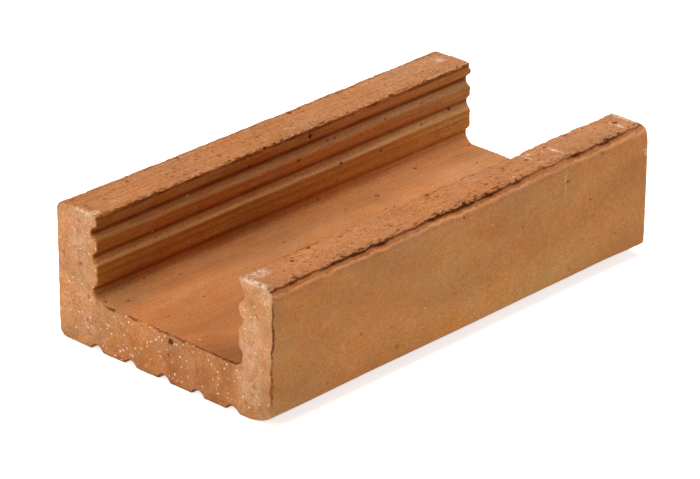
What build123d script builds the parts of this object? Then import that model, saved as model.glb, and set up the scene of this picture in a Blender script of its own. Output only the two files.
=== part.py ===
from build123d import *
import os

os.makedirs("parts", exist_ok=True)

# Overall size in mm
# +X runs along the extrusion, +Y across it and +Z up, from the middle of the underside
length = 250.0
width = 137.0
height = 67.0

# Channel: two walls and a floor, with the right wall a little thinner than the left
left_wall = 25.8
right_wall = 22.6
floor_thickness = 24.5
floor_radius = 5.5
lip_radius = 1.0

# Grooves along the inner face of each wall: drop of the upper edge below the top, and depth
# A short ledge undercuts the wall, and a cove curves back out to it
wall_grooves = [(5.4, 2.9), (17.0, 2.3)]
groove_height = 7.3
ledge_drop = 2.2
ledge_shortfall = 0.3
cove_drop = 3.9
groove_radius = 0.6

# Recess at the foot of each wall, rising this far above the channel's floor
foot_height = 9.7
foot_depth = 2.4

# Keying grooves under the floor
key_count = 5
key_pitch = 21.5
key_width = 7.5
key_depth = 2.6
key_offset = 1.0
key_mouth_radius = 0.8

# Long outer edges: both shoulders, the left bottom edge and the softer right bottom edge
shoulder_radius = 4.5
bottom_radius = 5.0
soft_edge_width = 18.5
soft_edge_height = 10.5

# Split line cut along each shoulder, at an angle measured from the side face
split_angle = 60.0
split_depth = 1.2

half = width / 2
left_face = half - left_wall
right_face = right_wall - half
foot_top = floor_thickness + foot_height
key_radius = (key_width**2 / 4 + key_depth**2) / (2 * key_depth)

# The whole brick is one extruded length of this section
with BuildPart() as channel_brick:
    with BuildSketch(Plane.YZ.offset(-length / 2)) as section:
        # Solid block, with its shoulders and its left bottom edge rounded
        Rectangle(width, height, align=(Align.CENTER, Align.MIN))
        fillet(section.vertices().group_by(Axis.Y)[-1], shoulder_radius)
        fillet(section.vertices().sort_by_distance((half, 0))[0], bottom_radius)

        # Right bottom edge, an elliptical rounding
        with BuildLine():
            soft_edge = EllipticalCenterArc(
                (soft_edge_width - half, soft_edge_height), soft_edge_width, soft_edge_height, 180, arc_size=90
            )
            Polyline(soft_edge @ 1, (-half, 0), soft_edge @ 0)
        make_face(mode=Mode.SUBTRACT)

        # Channel, open at the top and at both ends
        with BuildLine():
            Polyline(
                (left_face, height),
                (left_face, foot_top),
                (left_face + foot_depth, foot_top - ledge_drop),
                (left_face + foot_depth, floor_thickness),
                (right_face - foot_depth, floor_thickness),
                (right_face - foot_depth, foot_top - ledge_drop),
                (right_face, foot_top),
                (right_face, height),
                close=True,
            )
        make_face(mode=Mode.SUBTRACT)

        # Grooves in both walls, each a ledge and a cove
        for face, outward in [(left_face, 1), (right_face, -1)]:
            for drop, depth in wall_grooves:
                top = height - drop
                with BuildLine():
                    ledge = Polyline(
                        (face, top - groove_height),
                        (face, top),
                        (face + outward * (depth - ledge_shortfall), top - ledge_drop),
                    )
                    ThreePointArc(ledge @ 1, (face + outward * depth, top - cove_drop), ledge @ 0)
                make_face(mode=Mode.SUBTRACT)

        # Every corner inside the channel is rounded: the grooves, then the lips, then the floor
        above_floor = floor_thickness + 1
        below_lip = height - 1
        for low, high, radius in [
            (above_floor, below_lip, groove_radius),
            (below_lip, height + 1, lip_radius),
            (floor_thickness - 1, above_floor, floor_radius),
        ]:
            corners = section.vertices().filter_by_position(Axis.X, right_face - 4, left_face + 4)
            fillet(corners.filter_by_position(Axis.Y, low, high), radius)

        # Keying grooves, round-bottomed, with eased mouths
        with Locations((key_offset, key_depth - key_radius)):
            with GridLocations(key_pitch, 1, key_count, 1):
                Circle(key_radius, mode=Mode.SUBTRACT)
        key_span = key_pitch * (key_count - 1) / 2 + key_width
        mouths = section.vertices().group_by(Axis.Y)[0].filter_by_position(
            Axis.X, key_offset - key_span, key_offset + key_span
        )
        fillet(mouths, key_mouth_radius)

        # Split lines, a narrow V along each shoulder
        for side, angle in [(1, split_angle), (-1, 180 - split_angle)]:
            with Locations((side * (half - shoulder_radius), height - shoulder_radius)):
                with PolarLocations(shoulder_radius, 1, angle):
                    RegularPolygon(split_depth, 3, rotation=180, mode=Mode.SUBTRACT)

    extrude(amount=length)

channel_brick.part.label = "channel_brick"
export_step(channel_brick.part, "parts/channel_brick.step")
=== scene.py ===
import math

import bmesh
import bpy
import numpy as np
from mathutils import Matrix, Vector
from mathutils.geometry import delaunay_2d_cdt


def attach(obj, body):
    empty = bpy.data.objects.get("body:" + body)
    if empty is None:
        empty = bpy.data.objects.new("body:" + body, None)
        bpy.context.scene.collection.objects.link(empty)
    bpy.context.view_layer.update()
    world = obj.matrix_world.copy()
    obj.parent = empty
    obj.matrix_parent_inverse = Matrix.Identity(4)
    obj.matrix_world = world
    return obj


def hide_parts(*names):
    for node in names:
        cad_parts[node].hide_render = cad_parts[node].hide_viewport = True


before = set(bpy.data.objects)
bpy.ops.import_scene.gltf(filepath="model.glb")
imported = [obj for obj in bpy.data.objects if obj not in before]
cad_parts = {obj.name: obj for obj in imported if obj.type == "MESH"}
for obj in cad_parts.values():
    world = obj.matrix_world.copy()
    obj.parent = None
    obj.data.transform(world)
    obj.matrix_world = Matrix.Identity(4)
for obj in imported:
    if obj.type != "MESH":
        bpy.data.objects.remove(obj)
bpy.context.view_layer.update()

MM = 0.001

# Section of the brick in mm, as in the CAD part, with the foot of each wall 0.7 mm lower
LENGTH, WIDTH, HEIGHT = 250.0, 137.0, 67.0
HALF = WIDTH / 2
LEFT_WALL, RIGHT_WALL = 25.8, 22.6
LEFT_FACE, RIGHT_FACE = HALF - LEFT_WALL, RIGHT_WALL - HALF
FLOOR, FLOOR_R = 24.5, 5.5
GROOVE_H, LEDGE, LEDGE_SHORTFALL, COVE_DROP = 7.3, 2.2, 0.3, 3.9
FOOT_TOP, FOOT_DEPTH = 33.5, 2.4
KEY_COUNT, KEY_PITCH, KEY_W, KEY_D, KEY_OFFSET = 5, 21.5, 7.5, 2.6, 1.0
SHOULDER_R, BOTTOM_R = 4.5, 5.0
SOFT_W, SOFT_H = 18.5, 10.5

# Grooves along each inner wall: height of the upper edge, and depth
GROOVES = [(61.6, 2.9), (50.0, 2.3)]

# Split line along each shoulder: how far past the end of the top it runs, the widths of its steep torn
# edge and of the slope behind that, its depth, and how far ahead of the line the edge starts
SEAM_DROP, SEAM_STEEP, SEAM_SLOPE, SEAM_DEPTH, SEAM_LEAD = 0.95, 0.8, 3.5, 1.45, 0.25

# Stations along the brick: distances from each end, then the first even one and the count of even ones
END_STEPS = [0.0, 0.5, 1.1, 1.8, 2.6, 3.6]
FIRST_EVEN, EVEN_COUNT = 4.7, 219

# End faces: how far in their two inner rows lie, and the clearance and jitter of the grid inside those
ROW_INSETS = (0.7, 1.6)
GRID_CLEARANCE, GRID_JITTER = 2.3, 0.3

# Distances are painted on the mesh as shares of a span in mm that begins at a start
EDGE_START, EDGE_SPAN = -4.0, 10.0
PIT_START, PIT_SPAN = -2.0, 6.0

# A distance in mm past which no mark is drawn
FAR = 9.0

# Colour of the fired clay on each kind of surface, linear, with painted light in it: the side and end are
# partly painted lighter, and the inner walls darker and redder as painted shade
CLAY_AND_PAINTED_LIGHT = {
    "top": (0.510, 0.200, 0.074),
    "side": (0.635, 0.262, 0.083),
    "end": (0.760, 0.352, 0.154),
    "inner": (0.395, 0.116, 0.019),
    "floor": (0.505, 0.192, 0.066),
}

# Zones of the section that each of those colours covers
ZONES = {
    "top": ("left_top", "right_top", "left_shoulder", "right_shoulder"),
    "side": ("left", "right", "soft", "bottom_left", "under", "key"),
    "inner": ("left_inner", "right_inner"),
    "floor": ("floor",),
    "end": (),
}

# Colours that the material lays over the clay, linear; the crest one is a painted highlight, and the dark
# one is for painted shade and pits
PAINT = {
    "greyer": (0.50, 0.27, 0.15),
    "scum": (0.56, 0.33, 0.10),
    "haze": (0.84, 0.60, 0.42),
    "crest_highlight": (0.84, 0.36, 0.12),
    "ferrous": (0.42, 0.13, 0.045),
    "bloom": (0.90, 0.70, 0.52),
    "quartz": (1.0, 0.84, 0.64),
    "grit": (0.24, 0.08, 0.026),
    "flecks": (0.22, 0.050, 0.008),
    "dark": (0.150, 0.026, 0.001),
}

# Colours in the wall grooves: painted shade under each ledge, and pale dust with painted light on the cove
# below it
LEDGE_SHADE = (0.19, 0.045, 0.003)
DUST_AND_LIGHT = (0.70, 0.30, 0.095)

# For each groove, in shares of its height: middle of the painted shade, its strength, start and end of the
# dust and painted light
GROOVE_SHADE_AND_DUST = [(0.45, 1.0, 0.55, 1.02), (0.42, 0.75, 0.48, 1.08)]

# Drag lines along the lowest rib: height, half width and lightness
DRAG_LINES = [(36.3, 0.6, 1.1), (37.7, 0.6, 0.88), (39.7, 0.8, 1.17), (41.2, 0.5, 0.92)]

# Worn places on the arrises of the ends: end, Y, Z, reach, leg along X, leg into the section
WORN = [
    (-1, -68.5, 19.0, 15.0, 4.5, 3.1),
    (-1, -68.5, 31.0, 12.0, 4.0, 2.6),
    (-1, -68.5, 46.0, 14.0, 3.0, 1.9),
    (-1, -68.5, 57.0, 8.0, 2.6, 1.5),
    (-1, -68.5, 65.5, 5.0, 2.6, 1.9),
    (-1, -47.5, 61.0, 6.0, 3.2, 1.8),
    (-1, -46.5, 46.5, 3.5, 2.0, 1.0),
    (-1, 43.0, 58.0, 4.5, 1.5, 1.1),
    (-1, 43.0, 45.5, 3.5, 1.6, 0.9),
    (1, 43.0, 66.0, 3.0, 1.6, 1.2),
    (1, 60.0, 66.0, 6.0, 2.0, 0.9),
]

# Pits large enough to cut into the surface: X, Y, Z, radius, depth
PITS = [
    (19.5, 63, 67, 1.4, 0.9), (-54.5, 62.5, 67, 1.2, 0.6), (-39.5, 44, 67, 1.3, 0.8), (31, 66, 67, 1.0, 0.6),
    (-17, 42.7, 66.5, 1.5, 1.2), (-20, 43.5, 67, 0.9, 0.6), (-29, 42.7, 66.5, 1.1, 0.8),
    (69, 43, 67, 1.8, 1.1),
    (-82.5, -47.5, 67, 1.3, 1.1), (-97, -51.5, 67, 1.2, 0.9), (-60, -45.5, 67, 1.2, 0.9),
    (-64.5, -49.5, 67, 1.2, 0.9), (-5.5, -47.5, 67, 1.2, 0.8), (41.5, -52, 67, 1.1, 0.7),
    (-41.5, -63, 67, 1.1, 0.7), (116.5, -55, 67, 1.5, 0.8),
    (68, -68.5, 56.5, 1.1, 0.8), (84.5, -68.5, 42.5, 1.1, 0.8), (-3.5, -68.5, 61.5, 1.0, 0.7),
    (92, -68.5, 63, 0.9, 0.5), (99.5, -68.5, 61, 0.9, 0.5), (112.5, -68.5, 23, 0.9, 0.5),
    (-50.5, -68.5, 24, 0.9, 0.5), (-109.5, -68.5, 25.5, 1.0, 0.5),
    (12.5, 42.7, 63, 1.4, 1.0), (112, 44.5, 46, 1.4, 0.9), (34, 42.7, 42.5, 1.2, 0.8),
    (-25, 45.5, 58.5, 1.2, 0.8), (61.5, 42.7, 40, 1.1, 0.6), (4.5, 42.7, 53, 1.1, 0.6),
    (48, 32.5, 24.5, 1.6, 0.6), (-20, 28.5, 24.5, 1.3, 0.5), (-113.5, 35, 24.5, 1.3, 0.5),
    (83.5, 41, 24.5, 1.3, 0.5),
    (-125, -3.5, 21, 1.8, 1.1), (-125, -2, 14, 1.2, 0.8), (-125, 5, 23, 1.0, 0.6), (-125, 53, 41, 1.0, 0.4),
]

# White salt bloom: X, Y, Z, the three half sizes and strength
BLOOM = [
    (-125, 50.5, 67, 1.8, 8, 1.2, 0.85), (-122.5, 46, 67, 3, 2.2, 1.2, 0.8),
    (-108, 49.5, 67, 4, 1.2, 1.2, 0.25),
    (-125, -56, 67, 3.0, 11, 1.6, 1.3), (-117, -50, 67, 7, 5, 2, 0.65), (-125, -63, 62, 2, 4, 5, 0.5),
    (116.5, 55, 67, 3.2, 3.0, 2, 0.75), (60.5, -50.5, 67, 1.3, 1.3, 2, 1.8),
    (57.5, -51.5, 67, 1.1, 6.5, 2, 0.7), (72.5, -55.5, 67, 0.9, 6, 2, 1.5), (115, -58, 67, 1.0, 6, 2, 1.5),
    (123.2, -54, 67, 0.9, 11, 2, 1.5), (124, -68.5, 54, 1.6, 2, 3, 0.8), (66, -68.5, 56, 0.8, 2, 7, 0.4),
]

# Soft pale patches, described in the same way
HAZE = [
    (-125, 54, 49, 2, 6, 9, 0.8), (-125, 50, 61, 2, 8, 6, 0.6), (-125, 49, 11, 2, 6, 8, 0.7),
    (-125, 53, 30, 2, 6, 9, 0.4),
    (-125, -55.5, 46, 2, 4, 5, 1.0), (-125, -54, 33, 2, 6, 12, 0.7), (-125, -53, 14, 2, 8, 10, 0.5),
    (-82.5, -68.5, 25, 2.5, 2, 1.6, 0.5),
]

# Directions for the gradient noise: the twelve edges of a cube, four of them twice
GRADS = np.array([
    (1, 1, 0), (-1, 1, 0), (1, -1, 0), (-1, -1, 0), (1, 0, 1), (-1, 0, 1), (1, 0, -1), (-1, 0, -1),
    (0, 1, 1), (0, -1, 1), (0, 1, -1), (0, -1, -1), (1, 1, 0), (-1, 1, 0), (0, -1, 1), (0, -1, -1),
], float)

# Large odd numbers that scramble a lattice corner's place and the seed, and then the result
SCRAMBLE, SCRAMBLE_AGAIN = (374761393, 668265263, 2147483647, 974634777), 1274126177


def lattice_gradient(ix, iy, iz, seed):
    """The direction at each lattice corner, the same on every run."""
    h = sum(value * factor for value, factor in zip((ix, iy, iz, seed), SCRAMBLE)) & 0xFFFFFFFF
    h = ((h ^ (h >> 13)) * SCRAMBLE_AGAIN) & 0xFFFFFFFF
    return GRADS[(h ^ (h >> 16)) & 15]


def noise(points, size, seed=0):
    """Gradient noise at points in mm, about -1 to 1, with features of the given size in mm per axis."""
    q = points / np.asarray(size, float)
    base = np.floor(q).astype(np.int64)
    frac = q - base
    fade = frac**3 * (frac * (frac * 6 - 15) + 10)
    total = np.zeros(len(q))
    for dx in (0, 1):
        for dy in (0, 1):
            for dz in (0, 1):
                corner = np.array((dx, dy, dz))
                grad = lattice_gradient(*(base + corner).T, seed)
                weight = np.prod(np.where(corner, fade, 1 - fade), axis=1)
                total += weight * np.einsum("ij,ij->i", grad, frac - corner)
    return total * 1.4


def fractal(points, size, octaves, seed=0):
    """Noise with finer and weaker layers of itself on top."""
    size = np.asarray(size, float)
    total, scale = 0, 1.0
    for k in range(octaves):
        total = total + scale * noise(points, size / 2**k, seed + 17 * k)
        scale *= 0.5
    return total


def line_noise(values, size, seed=0):
    """Noise along a line, from one value per point."""
    points = np.column_stack([values, np.full(len(values), 0.37), np.full(len(values), 0.71)])
    return noise(points, (size, 1, 1), seed) * 1.3


def smoothstep(low, high, value):
    t = np.clip((value - low) / (high - low), 0, 1)
    return t * t * (3 - 2 * t)


def above(value, level):
    """What rises above a level, up to one."""
    return np.clip(value - level, 0, 1)


def soft_positive(value, blend):
    """The value where it is positive and zero elsewhere, with a soft turn between."""
    return blend * np.logaddexp(0, value / blend)


# The section's outline, anticlockwise seen from +X
def arc(cy, cz, ry, rz, start, end):
    """Points of an elliptical arc between two angles in degrees, more of them on a larger one."""
    count = max(4, int(abs(end - start) / 90 * max(ry, rz) * 14))
    a = np.radians(np.linspace(start, end, count))
    return [(cy + ry * math.cos(t), cz + rz * math.sin(t)) for t in a]


def cove_points(a, b, c):
    """Twelve points of the arc through three points."""
    (ax, ay), (bx, by), (cx, cy) = a, b, c
    d = 2 * (ax * (by - cy) + bx * (cy - ay) + cx * (ay - by))
    ux = ((ax**2 + ay**2) * (by - cy) + (bx**2 + by**2) * (cy - ay) + (cx**2 + cy**2) * (ay - by)) / d
    uy = ((ax**2 + ay**2) * (cx - bx) + (bx**2 + by**2) * (ax - cx) + (cx**2 + cy**2) * (bx - ax)) / d
    r = math.hypot(ax - ux, ay - uy)
    start, mid, end = (math.atan2(y - uy, x - ux) for x, y in (a, b, c))
    while abs(mid - start) > math.pi:
        mid += math.copysign(2 * math.pi, start - mid)
    while abs(end - mid) > math.pi:
        end += math.copysign(2 * math.pi, mid - end)
    return [(ux + r * math.cos(t), uy + r * math.sin(t)) for t in np.linspace(start, end, 12)]


def inner_wall(face, side):
    """One wall's inner face from its lip down to the floor fillet, and the fillet."""
    path = [(face, HEIGHT)]
    for top, depth in GROOVES:
        ledge_end = (face + side * (depth - LEDGE_SHORTFALL), top - LEDGE)
        deepest = (face + side * depth, top - COVE_DROP)
        path += [(face, top)] + cove_points(ledge_end, deepest, (face, top - GROOVE_H))
    foot = face + side * FOOT_DEPTH
    path += [(face, FOOT_TOP), (foot, FOOT_TOP - LEDGE), (foot, FLOOR + FLOOR_R)]
    start, end = (0, -90) if side > 0 else (180, 270)
    return path, arc(foot - side * FLOOR_R, FLOOR + FLOOR_R, FLOOR_R, FLOOR_R, start, end)


def outline():
    """The raw outline in stretches, each with its zone, the wanted spacing in mm and its points."""
    key_r = (KEY_W**2 / 4 + KEY_D**2) / (2 * KEY_D)
    key_a = math.degrees(math.asin((key_r - KEY_D) / key_r))
    keys = [KEY_OFFSET + (k - (KEY_COUNT - 1) / 2) * KEY_PITCH for k in range(KEY_COUNT)]
    shoulder_y, shoulder_z = HALF - SHOULDER_R, HEIGHT - SHOULDER_R
    left_wall, left_fillet = inner_wall(LEFT_FACE, 1)
    right_wall, right_fillet = inner_wall(RIGHT_FACE, -1)
    return [
        ("under", 4.5, [(SOFT_W - HALF, 0)]),
        *(("key", 1.2, arc(y, KEY_D - key_r, key_r, key_r, 180 - key_a, key_a)) for y in keys),
        ("bottom_left", 1.6, arc(HALF - BOTTOM_R, BOTTOM_R, BOTTOM_R, BOTTOM_R, -90, 0)),
        ("left", 3.0, [(HALF, BOTTOM_R + 0.1), (HALF, shoulder_z - 0.1)]),
        ("left_shoulder", 0.6, arc(shoulder_y, shoulder_z, SHOULDER_R, SHOULDER_R, 0, 90)),
        ("left_top", 1.0, [(shoulder_y, HEIGHT), left_wall[0]]),
        ("left_inner", 0.5, left_wall),
        ("floor", 1.3, left_fillet),
        ("floor", 2.1, [right_fillet[-1]]),
        ("floor", 1.3, right_fillet[::-1]),
        ("right_inner", 1.5, right_wall[::-1]),
        ("right_top", 0.9, [right_wall[0], (-shoulder_y, HEIGHT)]),
        ("right_shoulder", 0.42, arc(-shoulder_y, shoulder_z, SHOULDER_R, SHOULDER_R, 90, 180)),
        ("right", 1.8, [(-HALF, shoulder_z), (-HALF, SOFT_H)]),
        ("soft", 1.6, arc(SOFT_W - HALF, SOFT_H, SOFT_W, SOFT_H, 180, 270)),
    ]


def resample(parts, rounding=0.28, fine=0.08, soften=12, reach=3):
    """Outline points at the wanted spacing, with corners rounded, their normals, zones and arc lengths."""
    raw, zones, spacing = [], [], []
    for name, step, points in parts:
        for p in points:
            if raw and math.dist(raw[-1], p) < 1e-6:
                continue
            raw.append(p)
            zones.append(name)
            spacing.append(step)
    raw = np.array(raw)

    # Evenly along the outline at a fine step, each point with the stretch that it lies on
    loop = np.vstack([raw, raw[:1]])
    at = np.concatenate([[0], np.cumsum(np.linalg.norm(np.diff(loop, axis=0), axis=1))])
    count = int(at[-1] / fine)
    s = np.arange(count) * at[-1] / count
    dense = np.stack([np.interp(s, at, loop[:, 0]), np.interp(s, at, loop[:, 1])], 1)
    owner = np.clip(np.searchsorted(at, s, side="right"), 1, len(raw)) % len(raw)

    # Corners rounded by a moving average
    width = int(3 * rounding / fine)
    kernel = np.exp(-0.5 * (np.arange(-width, width + 1) * fine / rounding) ** 2)
    kernel /= kernel.sum()
    wrap = np.vstack([dense[-width:], dense, dense[:width]])
    smooth = np.stack([np.convolve(wrap[:, k], kernel, "valid") for k in (0, 1)], 1)

    # The wanted spacing, eased between stretches, picks the points to keep
    step = np.array([spacing[k] for k in owner])
    wide = np.ones(2 * soften + 1) / (2 * soften + 1)
    step = np.convolve(np.concatenate([step[-soften:], step, step[:soften]]), wide, "valid")
    density = np.concatenate([[0], np.cumsum(fine / step)])
    wanted = int(round(density[-1]))
    picks = np.interp(np.arange(wanted) * density[-1] / wanted, density, np.arange(count + 1))
    index = np.floor(picks).astype(int) % count

    tangent = smooth[(index + reach) % count] - smooth[(index - reach) % count]
    tangent /= np.linalg.norm(tangent, axis=1)[:, None]
    normal = np.stack([tangent[:, 1], -tangent[:, 0]], 1)
    return smooth[index], normal, np.array([zones[owner[k]] for k in index]), s[index]


section, section_normal, section_zone, section_s = resample(outline())
ring = len(section)


def ring_weight(*names, blur=2):
    """One on the named zones and zero elsewhere, softened over a few points of the section."""
    w = np.isin(section_zone, names).astype(float)
    for _ in range(blur):
        w = 0.25 * np.roll(w, 1) + 0.5 * w + 0.25 * np.roll(w, -1)
    return w


# Stations along the brick, closer together at the ends
middle = np.linspace(FIRST_EVEN, LENGTH - FIRST_EVEN, EVEN_COUNT)
stations = np.concatenate([END_STEPS, middle, LENGTH - np.array(END_STEPS[::-1])]) - LENGTH / 2
rows = len(stations)


def nearest_outline(points):
    """Distance in mm from points in the section's plane to its outline, and the nearest outline point."""
    best = np.full(len(points), 1e9)
    near = np.zeros(len(points), int)
    following = np.roll(section, -1, axis=0)
    for k in range(ring):
        ab = following[k] - section[k]
        t = np.clip(((points - section[k]) @ ab) / (ab @ ab), 0, 1)
        d = np.linalg.norm(points - section[k] - t[:, None] * ab, axis=1)
        closer = d < best
        best[closer] = d[closer]
        near[closer] = k
    return best, near


def inside_outline(points):
    """Whether points in the section's plane lie inside its outline."""
    inside = np.zeros(len(points), bool)
    y, z = points.T
    for (ay, az), (by, bz) in zip(section, np.roll(section, -1, axis=0)):
        if az == bz:
            continue
        crosses = (az > z) != (bz > z)
        inside ^= crosses & (y < (by - ay) * (z - az) / (bz - az) + ay)
    return inside


def end_face(step, seed):
    """Inner points and triangles of an end face: the ring, two rows inside it and a jittered grid."""
    rng = np.random.default_rng(seed)
    kept = []
    for row_inset in ROW_INSETS:
        row = section - section_normal * row_inset
        clearance, _ = nearest_outline(row)
        kept.append(row[(clearance > row_inset * 0.9) & inside_outline(row)])
    ys = np.arange(-HALF, HALF, step)
    zs = np.arange(0, HEIGHT, step)
    grid = np.stack(np.meshgrid(ys, zs), -1).reshape(-1, 2)
    grid = grid + rng.uniform(-GRID_JITTER, GRID_JITTER, grid.shape) * step
    clearance, _ = nearest_outline(grid)
    kept.append(grid[(clearance > GRID_CLEARANCE) & inside_outline(grid)])
    inner = np.vstack(kept)
    both = [Vector(p) for p in np.vstack([section, inner])]
    _, _, triangles, origin, _, _ = delaunay_2d_cdt(both, [], [list(range(ring))], 1, 1e-5)
    lookup = {new: old[-1] for new, old in enumerate(origin)}
    return inner, [tuple(lookup[v] for v in t) for t in triangles]


near_inner, near_faces = end_face(step=1.25, seed=3)
far_inner, far_faces = end_face(step=1.7, seed=4)


def along_x(values):
    """Vectors along X with the given values as their lengths."""
    return np.column_stack([values, np.zeros((len(values), 2))])


# Every point of the skin: the rings of the side first, then the inside of the near and the far end
side_points = np.column_stack([np.repeat(stations, ring), np.tile(section, (rows, 1))])
near_points = np.column_stack([np.full(len(near_inner), -LENGTH / 2), near_inner])
far_points = np.column_stack([np.full(len(far_inner), LENGTH / 2), far_inner])
points = np.vstack([side_points, near_points, far_points])
near_start = len(side_points)
far_start = near_start + len(near_points)

# For each point: its section point, its distance from the section's outline, and the normal
near_inset, near_owner = nearest_outline(near_inner)
far_inset, far_owner = nearest_outline(far_inner)
owner = np.concatenate([np.tile(np.arange(ring), rows), near_owner, far_owner])
inset = np.concatenate([np.zeros(near_start), near_inset, far_inset])
base = points.copy()
x, y, z = base.T
s = section_s[owner]
on_side = np.arange(len(points)) < near_start
on_end = ~on_side
flat = np.column_stack([np.zeros(len(points)), section_normal[owner]])
outward = np.where(on_side[:, None], flat, along_x(np.sign(x)))


def on(*names, blur=2):
    """One on the named zones of the side and zero elsewhere, softened."""
    return ring_weight(*names, blur=blur)[owner] * on_side


top_left, top_right = on("left_top"), on("right_top")
tops = np.clip(top_left + top_right, 0, 1)
shoulders = on("left_shoulder", "right_shoulder")
walls = on("left_inner", "right_inner")
channel_floor = on("floor", blur=4)
outer = on("left", "right", "soft", "bottom_left")
under = on("under", "key")

# Slow waviness of the whole skin, then finer unevenness
move = 0.20 * fractal(base, (80, 45, 45), 2, 1) + 0.05 * noise(base, (9, 5, 5), 5) * on_side
move += 0.025 * noise(base, (2.6, 2.2, 2.2), 6)

# Tops: drag lines and small tears on the left one, deeper tears on the right one, most by its lip
tears = above(noise(base, (5, 1.6, 5), 12), 0.35)
move += top_left * (0.07 * noise(base, (28, 1.8, 5), 11) - 0.12 * tears)
tears = 0.30 * above(noise(base, (6.5, 2.0, 5), 21), 0.1)
tears += 0.45 * above(noise(base, (3.4, 1.5, 5), 22), 0.45)
move -= top_right * tears
by_lip = smoothstep(-54, -47.5, y) * top_right
move -= by_lip * 0.9 * above(noise(base, (4.2, 1.6, 5), 23), 0.30)

# Drag lines along the walls and the floor, and the soft edge a little further in
move += walls * (0.10 * noise(base, (34, 3, 2.0), 31) + 0.05 * noise(base, (60, 1.4, 1.1), 32))
move += walls * 0.06 * noise(base, (2.8, 2.2, 2.2), 33)
move += channel_floor * (0.12 * noise(base, (60, 7, 7), 41) + 0.05 * noise(base, (30, 2.5, 2.5), 42))
move -= 0.2 * on("soft")

# Ends cut by a wire that tore grains out
tears = above(noise(base, (2.6, 2.6, 2.6), 53), 0.5)
move += on_end * (0.16 * fractal(base, (9, 7, 9), 2, 51) - 0.35 * tears)

# The underside moves inwards only, so that the brick still stands on its lands
move = np.where(under > 0.5, -np.abs(move), move)

# Split lines: a torn edge on the top's side, then a slope back out to the shoulder
seam = np.full(len(points), -FAR)
seam_depth = np.zeros(len(points))
for side, name in ((1, "left_shoulder"), (-1, "right_shoulder")):
    start = section_s[section_zone == name]
    top_end = start.max() if side > 0 else start.min()
    ragged = (0.34 * line_noise(x, 1.8, 61 + side) + 0.40 * line_noise(x, 5.5, 63 + side)
              + 0.30 * line_noise(x, 24, 65 + side) - 0.9 * smoothstep(104, 112, x))
    u = (top_end - s) * side - SEAM_DROP - ragged
    depth = SEAM_DEPTH + 0.55 * line_noise(x, 11, 67 + side) + 0.25 * line_noise(x, 3, 69 + side)
    depth = np.clip(depth, 0.5, 2.0)
    if side > 0:
        depth *= 0.7 * smoothstep(-125, -110, x)
    slope = np.clip(1 - (u - SEAM_STEEP + SEAM_LEAD) / SEAM_SLOPE, 0, 1) ** 1.1
    shape = smoothstep(-SEAM_LEAD, SEAM_STEEP - SEAM_LEAD, u) * slope
    near_it = on_side & (u > -1) & (u < SEAM_STEEP + SEAM_SLOPE)
    move = np.where(near_it, move - depth * shape, move)
    seam = np.maximum(seam, u)
    seam_depth = np.where(side * y > 0, depth, seam_depth)

points = points + outward * move[:, None]


def cut_corner(points, where, corner, direction, cut, blend):
    """The points moved back to a flat that cuts a long corner, and how far each was moved."""
    direction = np.asarray(direction, float) / np.linalg.norm(direction)
    proud = np.einsum("ij,j->i", points[:, 1:] - corner, direction) + cut
    push = soft_positive(proud, blend) * where
    moved = points.copy()
    moved[:, 1:] -= push[:, None] * direction
    return moved, push


# Chipped lips along the channel, and how much painted shade each chip gets
lip_chip_shade = np.zeros(len(points))
for face, side, chip in ((LEFT_FACE, 1, 1.0), (RIGHT_FACE, -1, 1.1)):
    where = on_side & (np.hypot(y - face, z - HEIGHT) < 5)
    cut = 0.32 + chip * (0.30 * line_noise(x, 1.9, 71 + side) + 0.35 * line_noise(x, 5.5, 73 + side)
                         + 1.1 * above(line_noise(x, 8, 75 + side), 0.35))
    cut = np.clip(cut, 0.1, 2.2)
    points, push = cut_corner(points, where, (face, HEIGHT), (-side, 1), cut, 0.12)
    lip_chip_shade = np.maximum(lip_chip_shade, where * smoothstep(0.25, 0.9, push))

# The soft edge is sharper at the far end
tent = np.clip(1 - np.abs(z - 6.8) / 3.2, 0, 1) * on_side * (y < -60)
points += flat * (smoothstep(98, 118, x) * tent)[:, None]

# The far right shoulder is worn rounder
where = on_side & (y < -58) & (z > 52)
cut = 1.5 + 1.3 * smoothstep(96, 124, x)
points, _ = cut_corner(points, where * smoothstep(94, 112, x), (-HALF, HEIGHT), (-1, 1), cut, 0.9)

# Pits, the placed ones and then some at random on each skin, up to the depth given in mm
pit_at, pit_strength = np.full(len(points), FAR), np.zeros(len(points))
rng = np.random.default_rng(11)
pits = list(PITS)
for skin, count, deepest in ((tops, 34, 0.6), (walls, 8, 0.5), (outer, 10, 0.3), (channel_floor, 4, 0.5)):
    for k in rng.choice(np.flatnonzero(on_side & (skin > 0.9)), count, replace=False):
        pits.append((*base[k], rng.uniform(0.8, 1.4), deepest * rng.uniform(0.4, 1.0)))
for px, py, pz, radius, depth in pits:
    d = np.linalg.norm((base - (px, py, pz)) / (1.25, 1, 1), axis=1)
    bowl = np.clip(1 - (d / radius) ** 2, 0, 1)
    points -= outward * (depth * bowl)[:, None]
    pit_strength = np.where(d - radius < pit_at, min(1, 0.15 + depth), pit_strength)
    pit_at = np.minimum(pit_at, d - radius)

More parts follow.
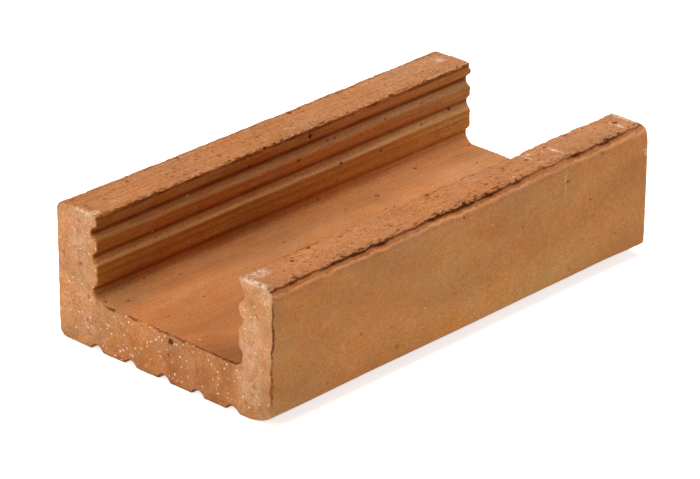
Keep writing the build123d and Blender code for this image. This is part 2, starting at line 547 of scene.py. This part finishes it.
# Worn arrises at both ends, and the distance to the inner edge of each
arris_at = np.zeros(len(points))
for end in (-1, 1):
    leg_x = 0.42 + 0.22 * line_noise(section_s, 3.1, 81 + end)
    leg_x += 0.8 * above(line_noise(section_s, 9, 83 + end), 0.25)
    leg_in = 0.36 + 0.20 * line_noise(section_s, 2.7, 85 + end)
    leg_in += 0.6 * above(line_noise(section_s, 7, 87 + end), 0.25)
    leg_x, leg_in = np.clip(leg_x, 0.2, 4), np.clip(leg_in, 0.2, 3)
    if end > 0:
        sharp = ring_weight("right", "soft")
        leg_x, leg_in = leg_x * (1 - 0.65 * sharp), leg_in * (1 - 0.75 * sharp)
    for which, wy, wz, reach, along, into in WORN:
        if which == end:
            d = np.hypot(section[:, 0] - wy, section[:, 1] - wz) / reach
            w = smoothstep(1.0, 0.62, d) * (0.92 + 0.25 * line_noise(section_s, 3.3, 89))
            leg_x, leg_in = np.maximum(leg_x, along * w), np.maximum(leg_in, into * w)
    a, b = leg_x[owner], leg_in[owner]
    dx = LENGTH / 2 - end * x
    here = dx < 9
    steepness = np.sqrt(1 / a**2 + 1 / b**2)
    proud = (1 - dx / a - inset / b) / steepness
    push = soft_positive(proud, 0.1) * here
    direction = (along_x(end / a) + flat / b[:, None]) / steepness[:, None]
    points -= direction * (push + here * (push > 0.3) * 0.12 * noise(base, 1.8, 91))[:, None]
    arris_at = np.where(end * x > 0, np.where(on_side, dx, -inset) + b - 0.35, arris_at)

# The near left corner stands a little high, and nothing is lower than the lands
points[:, 2] += 0.6 * smoothstep(30, -125, x) * smoothstep(44, 62, y) * smoothstep(40, 66, z)
points[:, 2] = np.maximum(points[:, 2], 0)

# Colour of each point: the clay of its zone, with the painted light in that colour, blended by how much of
# each zone lies there
to_end = smoothstep(0.35, -0.35, arris_at) * (np.abs(x) > LENGTH / 2 - 6)
weights = {"top": tops + shoulders, "side": outer + under, "inner": walls, "floor": channel_floor}
weights["end"] = 0 * x
for name, zones in ZONES.items():
    weight = np.where(on_side, weights[name], ring_weight(*zones)[owner])
    weights[name] = weight * (1 - to_end) + to_end * (name == "end")
total = sum(weights.values())
tone = sum((weight / total)[:, None] * np.array(CLAY_AND_PAINTED_LIGHT[name]) for name, weight in weights.items())
inner, end_part = weights["inner"], weights["end"]
along = smoothstep(-125, 125, x)


def tint(amount, change):
    """Change the tone by a share per channel, in full where the amount is one."""
    np.multiply(tone, 1 + amount[:, None] * np.array(change), out=tone)


# Slow variation, and a paler and less orange channel towards the far end; on the inner walls that is painted
# light, brighter towards the open far end
tint(fractal(base, (60, 30, 30), 3, 101), 0.10)
tint(fractal(base, (45, 22, 22), 3, 105), (0.05, -0.02, -0.12))
tint(inner * along, (0.31, 0.60, 1.30))
tint((weights["top"] + channel_floor) * smoothstep(-60, 125, x), (0.10, 0.18, 0.30))

# Walls: painted shade under each ledge, dust and painted light on each cove, both paler towards the open far
# end as painted light, and drag lines on the lowest rib
for (top, _), (shade_at, shade_amount, lit_dust_from, lit_dust_to) in zip(GROOVES, GROOVE_SHADE_AND_DUST):
    h = (top - z) / GROOVE_H
    dust_and_lit = smoothstep(lit_dust_from, lit_dust_from + 0.27, h) * smoothstep(lit_dust_to, lit_dust_to - 0.15, h)
    shaded = smoothstep(shade_at - 0.3, shade_at, h) * smoothstep(shade_at + 0.25, shade_at + 0.03, h)
    for amount, colour in ((shaded * shade_amount, LEDGE_SHADE), (dust_and_lit, DUST_AND_LIGHT)):
        colour = np.array(colour) * (1 + along[:, None] * np.array((0.05, 0.30, 0.75)))
        tone += (inner * amount)[:, None] * (colour - tone)
for line_z, half, lightness in DRAG_LINES:
    tint(inner * smoothstep(half, 0, np.abs(z - line_z)), lightness - 1)

# Walls: a paler lowest rib, a darker top rib at the near end as painted shade, a darker and redder lip, and
# painted shade in the recess at the foot
tint(inner * smoothstep(43.5, 42, z), (0.04, 0.14, 0.02))
tint(inner * smoothstep(60.5, 62.5, z) * (1 - along), (-0.16, -0.15, -0.28))
tint(inner * smoothstep(64.8, 66, z), (-0.02, -0.16, -0.42))
h = (FOOT_TOP - z) / LEDGE
tint(walls * smoothstep(0.9, 1.25, h) * smoothstep(2.2, 1.6, h), (-0.42, -0.52, -0.90))
beside_wall = smoothstep(36.5, 40, np.abs(y + 1.6)) * smoothstep(31, 29.5, z)
tint(np.clip(channel_floor + walls, 0, 1) * beside_wall, (0.20, 0.19, 0.08))

# Ends: the floor's part is darker and redder than the walls', and all of it darker towards the bottom
low = smoothstep(44, 37, np.abs(y + 3)) * smoothstep(27, 22, z)
redder = smoothstep(25, -15, y)[:, None]
tint(end_part * low, -(np.array((0.08, 0.17, 0.31)) + redder * np.array((0.15, 0.15, 0.10))))
tint(end_part * fractal(base, (14, 12, 14), 3, 107), (0.10, 0.14, 0.20))
tint(end_part * smoothstep(48, 8, z), (-0.11, -0.15, -0.23))

# The channel's floor is paler by the left wall, more orange near the middle of its near end and
# darker by the right wall there, a painted shadow of that wall
tint(channel_floor * smoothstep(2, 22, y), (0.07, 0.12, 0.14))
tint(channel_floor * smoothstep(-60, -110, x) * smoothstep(26, 14, np.abs(y)), (0.0, -0.10, -0.24))
tint(channel_floor * smoothstep(-95, -118, x) * smoothstep(-8, -30, y), (-0.33, -0.37, -0.42))

# The lower part of the outer faces is yellower along the middle of the brick
yellow = outer * smoothstep(34, 14, z) * smoothstep(2, 8, z)
tint(yellow * smoothstep(-80, 0, x) * smoothstep(115, 60, x), (0.06, 0.17, 0.20))


def patches(places):
    """Soft-edged spots, with the strongest one where they overlap."""
    strongest = np.zeros(len(points))
    for bx, by, bz, rx, ry, rz, strength in places:
        d = np.linalg.norm((base - (bx, by, bz)) / (rx, ry, rz), axis=1)
        strongest = np.maximum(strongest, strength * smoothstep(1.25, 0.35, d))
    return strongest


# Painted marks: salt bloom, pale haze, painted shade in the chipped lips and scum on the right side
bloom, haze = patches(BLOOM), patches(HAZE) * (1 - inner)
chip_shade = 0.22 * lip_chip_shade
near_low = smoothstep(-108, -121, x) * smoothstep(52, 36, z)
clouded = smoothstep(0.1, 0.8, fractal(base, (70, 30, 22), 3, 115))
scum = np.clip(outer * (y < 0) * (near_low + 0.55 * clouded), 0, 1)

# Painted finish: how much the surface is specked, streaked, rough and torn
speck = end_part * (0.25 + 0.75 * low) + 0.02
streak = np.clip(walls + 0.9 * top_left + 0.6 * channel_floor + 0.5 * top_right, 0, 1)
rough = 0.60 + 0.40 * end_part + 0.4 * tops - 0.2 * outer - 0.25 * channel_floor - 0.2 * walls
rough = np.clip(rough, 0.1, 1)
torn = np.clip(top_right + 0.45 * top_left, 0, 1)


def coded(distance, start, reach):
    """A distance in mm as a share of a span, which the material turns back into mm."""
    return np.clip((distance - start) / reach, 0, 1)


# Distances that the material draws cracks along, darkened as painted shade
left_lip = section_s[section_zone == "left_inner"].min()
right_lip = section_s[section_zone == "right_inner"].max()
lip = np.minimum(s - left_lip, right_lip - s)
edges = [coded(distance, EDGE_START, EDGE_SPAN) for distance in (seam, lip, arris_at)]

# How strong each crack's painted shade is: the split lines, the lips, the line behind the right lip and the
# near arris
seam_strength = np.clip(seam_depth / SEAM_DEPTH, 0, 1.2) * on_side
far_right = smoothstep(-45.9, -46.5, y) * smoothstep(0, 60, x)
lip_strength = np.clip(0.85 + 0.4 * line_noise(x, 7, 121) - 0.5 * far_right, 0, 1) * on_side
lip_line = top_right * smoothstep(-97, -90, x) * smoothstep(14, 4, x)
lip_line = lip_line * np.clip(0.75 + 0.7 * line_noise(x, 9, 131), 0, 1)
floor_rim = ring_weight("floor", blur=1)[owner]
side_rim = ring_weight("right", blur=1)[owner] * smoothstep(4, 12, z)
key_rim = ring_weight("key", blur=0)[owner]
arris_strength = (floor_rim * (0.60 + 0.75 * line_noise(s, 4, 111))
                  + side_rim * (0.95 + 0.5 * line_noise(s, 6, 112)) + 0.9 * key_rim)
arris_strength = smoothstep(0, -60, x) * np.clip(arris_strength, 0, 1)

# Mesh
faces = []
for r in range(rows - 1):
    a = r * ring
    b = a + ring
    for k in range(ring):
        m = (k + 1) % ring
        faces.append((a + k, b + k, b + m, a + m))
last = (rows - 1) * ring
for f in near_faces:
    faces.append(tuple(v if v < ring else near_start + v - ring for v in f)[::-1])
for f in far_faces:
    faces.append(tuple(last + v if v < ring else far_start + v - ring for v in f))

mesh = bpy.data.meshes.new("brick_body")
mesh.from_pydata([tuple(p * MM) for p in points], [], faces)
mesh.validate()
bm = bmesh.new()
bm.from_mesh(mesh)
bmesh.ops.recalc_face_normals(bm, faces=bm.faces)
bm.to_mesh(mesh)
bm.free()
mesh.shade_smooth()


def paint(name, columns):
    layer = mesh.color_attributes.new(name, "FLOAT_COLOR", "POINT")
    values = np.column_stack([*columns, np.ones(len(points))]).astype(np.float32)
    layer.data.foreach_set("color", values.ravel())


paint("tone", tone.T)
paint("marks", (bloom, chip_shade, scum))
paint("finish", (speck, streak, rough))
paint("edges", edges)
paint("cracks", (seam_strength, lip_strength, arris_strength))
paint("wear", (torn, haze, lip_line))
paint("pits", (coded(pit_at, PIT_START, PIT_SPAN), pit_strength, 0 * x))

brick = bpy.data.objects.new("brick_body", mesh)
bpy.context.scene.collection.objects.link(brick)
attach(brick, "root")
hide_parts("channel_brick")

# Fired clay
clay = bpy.data.materials.new("fired_clay_brick")
clay.use_nodes = True
tree = clay.node_tree
shader = tree.nodes["Principled BSDF"]


def put(socket, value):
    if isinstance(value, bpy.types.NodeSocket):
        tree.links.new(value, socket)
    elif value is not None:
        socket.default_value = value


def calc(operation, a, b=None, c=None, clamp=False):
    n = tree.nodes.new("ShaderNodeMath")
    n.operation, n.use_clamp = operation, clamp
    for socket, value in zip(n.inputs, (a, b, c)):
        put(socket, value)
    return n.outputs[0]


def span(value, low, high, to_low=0.0, to_high=1.0):
    n = tree.nodes.new("ShaderNodeMapRange")
    n.interpolation_type = "SMOOTHSTEP"
    for socket, v in zip(n.inputs, (value, low, high, to_low, to_high)):
        put(socket, v)
    return n.outputs[0]


def mix(factor, a, b, blend="MIX"):
    n = tree.nodes.new("ShaderNodeMix")
    n.data_type, n.blend_type = "RGBA", blend
    put(n.inputs["Factor"], factor)
    put(n.inputs[6], a)
    put(n.inputs[7], b)
    return n.outputs[2]


def painted(name):
    n = tree.nodes.new("ShaderNodeAttribute")
    n.attribute_name = name
    split = tree.nodes.new("ShaderNodeSeparateColor")
    tree.links.new(n.outputs["Color"], split.inputs[0])
    return n.outputs["Color"], split.outputs


def stretched(scale):
    n = tree.nodes.new("ShaderNodeVectorMath")
    n.operation = "MULTIPLY"
    put(n.inputs[0], tree.nodes["place"].outputs["Object"])
    n.inputs[1].default_value = scale
    return n.outputs[0]


def grain(vector, detail=2.0, roughness=0.55, distortion=0.0):
    n = tree.nodes.new("ShaderNodeTexNoise")
    put(n.inputs["Vector"], vector)
    put(n.inputs["Scale"], 1.0)
    put(n.inputs["Detail"], detail)
    put(n.inputs["Roughness"], roughness)
    put(n.inputs["Distortion"], distortion)
    return n.outputs[0]


def dots(vector, low, high, share):
    """Round spots in a share of the cells, of random size."""
    n = tree.nodes.new("ShaderNodeTexVoronoi")
    put(n.inputs["Vector"], vector)
    put(n.inputs["Scale"], 1.0)
    split = tree.nodes.new("ShaderNodeSeparateColor")
    tree.links.new(n.outputs["Color"], split.inputs[0])
    radius = calc("MULTIPLY_ADD", split.outputs[1], high - low, low)
    spot = calc("SUBTRACT", 1.0, calc("DIVIDE", n.outputs["Distance"], radius), clamp=True)
    chosen = calc("LESS_THAN", split.outputs[0], share)
    return calc("MULTIPLY", spot, chosen)


def band(value, rise, full, fade, gone):
    """One between full and fade, and zero before rise and past gone."""
    return calc("MULTIPLY", span(value, rise, full), span(value, fade, gone, 1.0, 0.0))


def product(*values):
    result = values[0]
    for value in values[1:]:
        result = calc("MULTIPLY", result, value)
    return result


def centred(texture):
    return calc("SUBTRACT", texture, 0.5)


def uneven(texture, amount):
    """A texture as a factor about one, that departs from it by the amount."""
    return calc("MULTIPLY_ADD", centred(texture), amount, 1.0)


place = tree.nodes.new("ShaderNodeTexCoord")
place.name = "place"
tone_color, _ = painted("tone")
_, (bloom_f, chip_shade_f, scum_f) = painted("marks")
_, (speck_f, streak_f, rough_f) = painted("finish")
_, edge_codes = painted("edges")
_, (seam_f, lip_f, arris_f) = painted("cracks")
_, (torn_f, haze_f, lip_line_f) = painted("wear")
_, (pit_code, pit_f, _) = painted("pits")

sand = grain(stretched((1350, 1350, 1350)), 2.0, 0.6)
crumbs = grain(stretched((620, 620, 620)), 2.0, 0.6)
shreds = grain(stretched((300, 900, 900)), 2.0, 0.6)
mottle = grain(stretched((260, 260, 260)), 3.0, 0.6)
cloud = grain(stretched((60, 90, 90)), 4.0, 0.55)
lines = grain(stretched((22, 900, 900)), 3.0, 0.6, 0.1)
pits_f = dots(stretched((230, 290, 290)), 0.10, 0.26, calc("MULTIPLY_ADD", speck_f, -0.12, 0.16))
grit = dots(stretched((620, 620, 620)), 0.15, 0.42, 0.30)
quartz = dots(stretched((520, 520, 520)), 0.15, 0.38, calc("MULTIPLY", speck_f, 0.24))
flecks = dots(stretched((240, 520, 520)), 0.15, 0.46, calc("MULTIPLY", torn_f, 0.30))
broad = grain(stretched((70, 90, 90)), 1.0, 0.5)
ferrous = dots(stretched((200, 200, 200)), 0.10, 0.42, calc("MULTIPLY", speck_f, 0.5))

# Distances to the split line, the channel's lips and the near arris in mm, made ragged
jitter = calc("MULTIPLY_ADD", centred(crumbs), 2.2, calc("MULTIPLY", centred(sand), 1.2))
torn_jitter = calc("MULTIPLY_ADD", jitter, 0.35, calc("MULTIPLY", centred(shreds), 1.8))
seam_at, lip_at, rim_at = (
    calc("ADD", calc("MULTIPLY_ADD", code, EDGE_SPAN, EDGE_START), ragged)
    for code, ragged in zip(edge_codes, (torn_jitter, torn_jitter, jitter))
)
pit_edge = calc("MULTIPLY_ADD", jitter, 0.25, calc("MULTIPLY_ADD", pit_code, PIT_SPAN, PIT_START))

# Marks along those distances: painted shade in the cracks and on the split line's slope, and painted
# highlights on its crest and where the lips glint
crack = product(band(seam_at, -0.15, 0.05, 0.40, 0.95), seam_f)
slope = product(band(seam_at, 0.2, 0.7, 2.0, 3.6), seam_f)
crest_highlight = product(band(seam_at, 2.9, 3.6, 4.4, 5.2), seam_f)
torn_off = product(band(seam_at, -3.2, -0.9, -0.1, 0.3), span(shreds, 0.53, 0.59), seam_f)
lip_crack = product(band(lip_at, -0.6, 0.0, 0.8, 1.6), lip_f)
lip_torn = product(band(lip_at, -2.6, -0.9, -0.3, 0.3), span(shreds, 0.51, 0.58), lip_f)
lip_split = product(band(lip_at, -2.3, -1.9, -1.6, -1.2), lip_line_f)
lip_glint = product(band(lip_at, -2.4, -1.2, -0.2, 0.3), span(shreds, 0.42, 0.52, 1.0, 0.0), lip_f)
rim_crack = product(band(rim_at, -0.9, -0.3, 0.4, 1.1), arris_f)
pit = product(span(pit_edge, -0.5, 0.0, 1.0, 0.0), pit_f)

# Openings in the skin, darkened as painted shade: how dark each is, and how deep in mm
shaded_openings = (
    (crack, 0.86, 0.5),
    (torn_off, 0.85, 0.35),
    (lip_crack, 0.8, 0.3),
    (lip_torn, 0.85, 0.35),
    (lip_split, 0.75, 0.3),
    (rim_crack, 0.9, 0.3),
)

# Lightness, each about one: sand, crumbs, mottling, clouds and drag lines, painted shade on the split line's
# slope, and painted highlights on its crest and by the lips
light = product(
    uneven(sand, calc("MULTIPLY_ADD", rough_f, 0.60, 0.75)),
    uneven(crumbs, calc("MULTIPLY", rough_f, 0.55)),
    uneven(mottle, calc("MULTIPLY_ADD", rough_f, 0.45, 0.05)),
    uneven(cloud, 0.30),
    uneven(lines, calc("MULTIPLY", streak_f, 0.75)),
    calc("MULTIPLY_ADD", slope, -0.36, 1.0),
    calc("MULTIPLY_ADD", crest_highlight, 0.10, 1.0),
    calc("MULTIPLY_ADD", lip_glint, 0.34, 1.0),
)

# Darker clay is redder, so the lightness tells more in green and most in blue
shade = tree.nodes.new("ShaderNodeCombineColor")
for socket, power in zip(shade.inputs, (0.75, 1.2, 1.8)):
    put(socket, calc("POWER", light, power))
color = mix(1.0, tone_color, shade.outputs[0], "MULTIPLY")

# Colours laid over the clay in turn, from wide stains to single grains, with the crest's painted highlight
# among them
salt = grain(stretched((850, 850, 850)), 3.0, 0.7)
for name, amount in (
    ("greyer", calc("MULTIPLY", span(broad, 0.50, 0.70), 0.14)),
    ("scum", calc("MULTIPLY", calc("MULTIPLY", scum_f, span(broad, 0.35, 0.60), clamp=True), 0.30)),
    ("haze", calc("MULTIPLY", calc("MULTIPLY", haze_f, span(mottle, 0.35, 0.60), clamp=True), 0.42)),
    ("crest_highlight", calc("MULTIPLY", crest_highlight, 0.45)),
    ("ferrous", calc("MULTIPLY", span(ferrous, 0.1, 0.6), 0.60)),
    ("bloom", calc("MULTIPLY", calc("MULTIPLY", bloom_f, span(salt, 0.40, 0.58), clamp=True), 0.92)),
    ("quartz", span(quartz, 0.10, 0.45, 0.0, 0.95)),
    ("grit", product(grit, calc("MULTIPLY_ADD", speck_f, 0.30, 0.32))),
    ("flecks", calc("MULTIPLY", span(flecks, 0.1, 0.45), 0.75)),
):
    color = mix(amount, color, (*PAINT[name], 1))

# The darkest of the painted shade in the chipped lips and the openings, and of the pits, goes on last
dark = calc("MULTIPLY", chip_shade_f, span(mottle, 0.25, 0.5, 0.55, 1.0))
dark = calc("MAXIMUM", dark, span(pits_f, 0.1, 0.6, 0.0, 0.75))
for opening, darkness, _ in shaded_openings:
    dark = calc("MAXIMUM", dark, product(opening, darkness))
dark = calc("MAXIMUM", dark, product(pit, 0.95))
color = mix(calc("MULTIPLY", dark, 0.94, clamp=True), color, (*PAINT["dark"], 1))
put(shader.inputs["Base Color"], color)
put(shader.inputs["Roughness"], span(sand, 0.3, 0.7, 0.82, 0.97))
shader.inputs["Specular IOR Level"].default_value = 0.12

# Relief finer than the mesh, in mm
height = product(centred(sand), calc("MULTIPLY_ADD", rough_f, 0.30, 0.10))
for texture, amount in (
    (crumbs, calc("MULTIPLY_ADD", rough_f, 0.30, 0.06)),
    (mottle, calc("MULTIPLY_ADD", rough_f, 0.35, 0.12)),
    (lines, calc("MULTIPLY", streak_f, 0.22)),
):
    height = calc("ADD", height, product(centred(texture), amount))
for hollow, depth in ((pits_f, 0.45), (grit, 0.06), (flecks, 0.35)):
    height = calc("SUBTRACT", height, product(hollow, depth))
for opening, _, depth in shaded_openings:
    height = calc("SUBTRACT", height, product(opening, depth))
bump = tree.nodes.new("ShaderNodeBump")
bump.inputs["Strength"].default_value = 1.0
bump.inputs["Distance"].default_value = MM
put(bump.inputs["Height"], height)
put(shader.inputs["Normal"], bump.outputs[0])
mesh.materials.append(clay)

# Studio: half the floor's side in m, how white it is and glows to the camera, and the world's light
FLOOR_HALF, FLOOR_WHITE, FLOOR_GLOW, WORLD_LIGHT = 4, 0.9, 0.72, 0.15

# Floor, white to the camera where no shadow falls
floor_mesh = bpy.data.meshes.new("studio_floor")
corners = [(FLOOR_HALF * cx, FLOOR_HALF * cy, 0) for cx, cy in ((-1, -1), (1, -1), (1, 1), (-1, 1))]
floor_mesh.from_pydata(corners, [], [(0, 1, 2, 3)])
floor = bpy.data.objects.new("studio_floor", floor_mesh)
bpy.context.scene.collection.objects.link(floor)
paper = bpy.data.materials.new("studio_paper")
paper.use_nodes = True
tree = paper.node_tree
sheet = tree.nodes["Principled BSDF"]
sheet.inputs["Base Color"].default_value = (FLOOR_WHITE, FLOOR_WHITE, FLOOR_WHITE, 1)
sheet.inputs["Roughness"].default_value = 1.0
sheet.inputs["Specular IOR Level"].default_value = 0.0
glow = tree.nodes.new("ShaderNodeEmission")
rays = tree.nodes.new("ShaderNodeLightPath")
seen = calc("MAXIMUM", rays.outputs["Is Camera Ray"], rays.outputs["Is Glossy Ray"])
seen = calc("MAXIMUM", seen, rays.outputs["Is Transmission Ray"])
put(glow.inputs["Strength"], calc("MULTIPLY", seen, FLOOR_GLOW))
blend = tree.nodes.new("ShaderNodeAddShader")
put(blend.inputs[0], sheet.outputs[0])
put(blend.inputs[1], glow.outputs[0])
put(tree.nodes["Material Output"].inputs[0], blend.outputs[0])
floor_mesh.materials.append(paper)

world = bpy.data.worlds.new("studio_world")
world.use_nodes = True
world.node_tree.nodes["Background"].inputs["Color"].default_value = (1, 1, 1, 1)
world.node_tree.nodes["Background"].inputs["Strength"].default_value = WORLD_LIGHT
bpy.context.scene.world = world


def softbox(name, size, energy, location):
    """A rectangular lamp of a size in m and a power in W, aimed at the middle of the brick."""
    data = bpy.data.lights.new(name, "AREA")
    data.shape = "RECTANGLE"
    data.size, data.size_y = size
    data.energy = energy
    lamp = bpy.data.objects.new(name, data)
    lamp.location = location
    lamp.rotation_euler = (Vector((0, 0, 0.03)) - lamp.location).to_track_quat("-Z", "Y").to_euler()
    bpy.context.scene.collection.objects.link(lamp)


softbox("softbox_over", (1.2, 1.2), 20.5, (0, 0.12, 1.5))
softbox("softbox_left", (0.7, 0.7), 4.5, (-1.1, 0.2, 0.5))
softbox("softbox_right", (1.1, 0.32), 3.6, (0.95, -0.80, 0.17))

# Camera solved from the photo: its focal length in pixels, its place in m and its three axes
FOCAL_PX, PHOTO_WIDTH, SENSOR = 4145.07, 700, 36.0
CAMERA_AT = (-1.26794, -1.18661, 0.83396)
CAMERA_RIGHT = (0.68628, -0.72732, 0.00417)
CAMERA_UP = (0.30363, 0.29169, 0.90704)
CAMERA_BACK = (-0.66093, -0.62122, 0.42102)

camera_data = bpy.data.cameras.new("camera")
camera_data.sensor_width = SENSOR
camera_data.lens = FOCAL_PX / PHOTO_WIDTH * SENSOR
camera_data.clip_end = 20
camera = bpy.data.objects.new("camera", camera_data)
turn = Matrix((CAMERA_RIGHT, CAMERA_UP, CAMERA_BACK)).transposed()
camera.matrix_world = Matrix.Translation(CAMERA_AT) @ turn.to_4x4()
bpy.context.scene.collection.objects.link(camera)
bpy.context.scene.camera = camera
bpy.context.scene.view_settings.view_transform = "Standard"
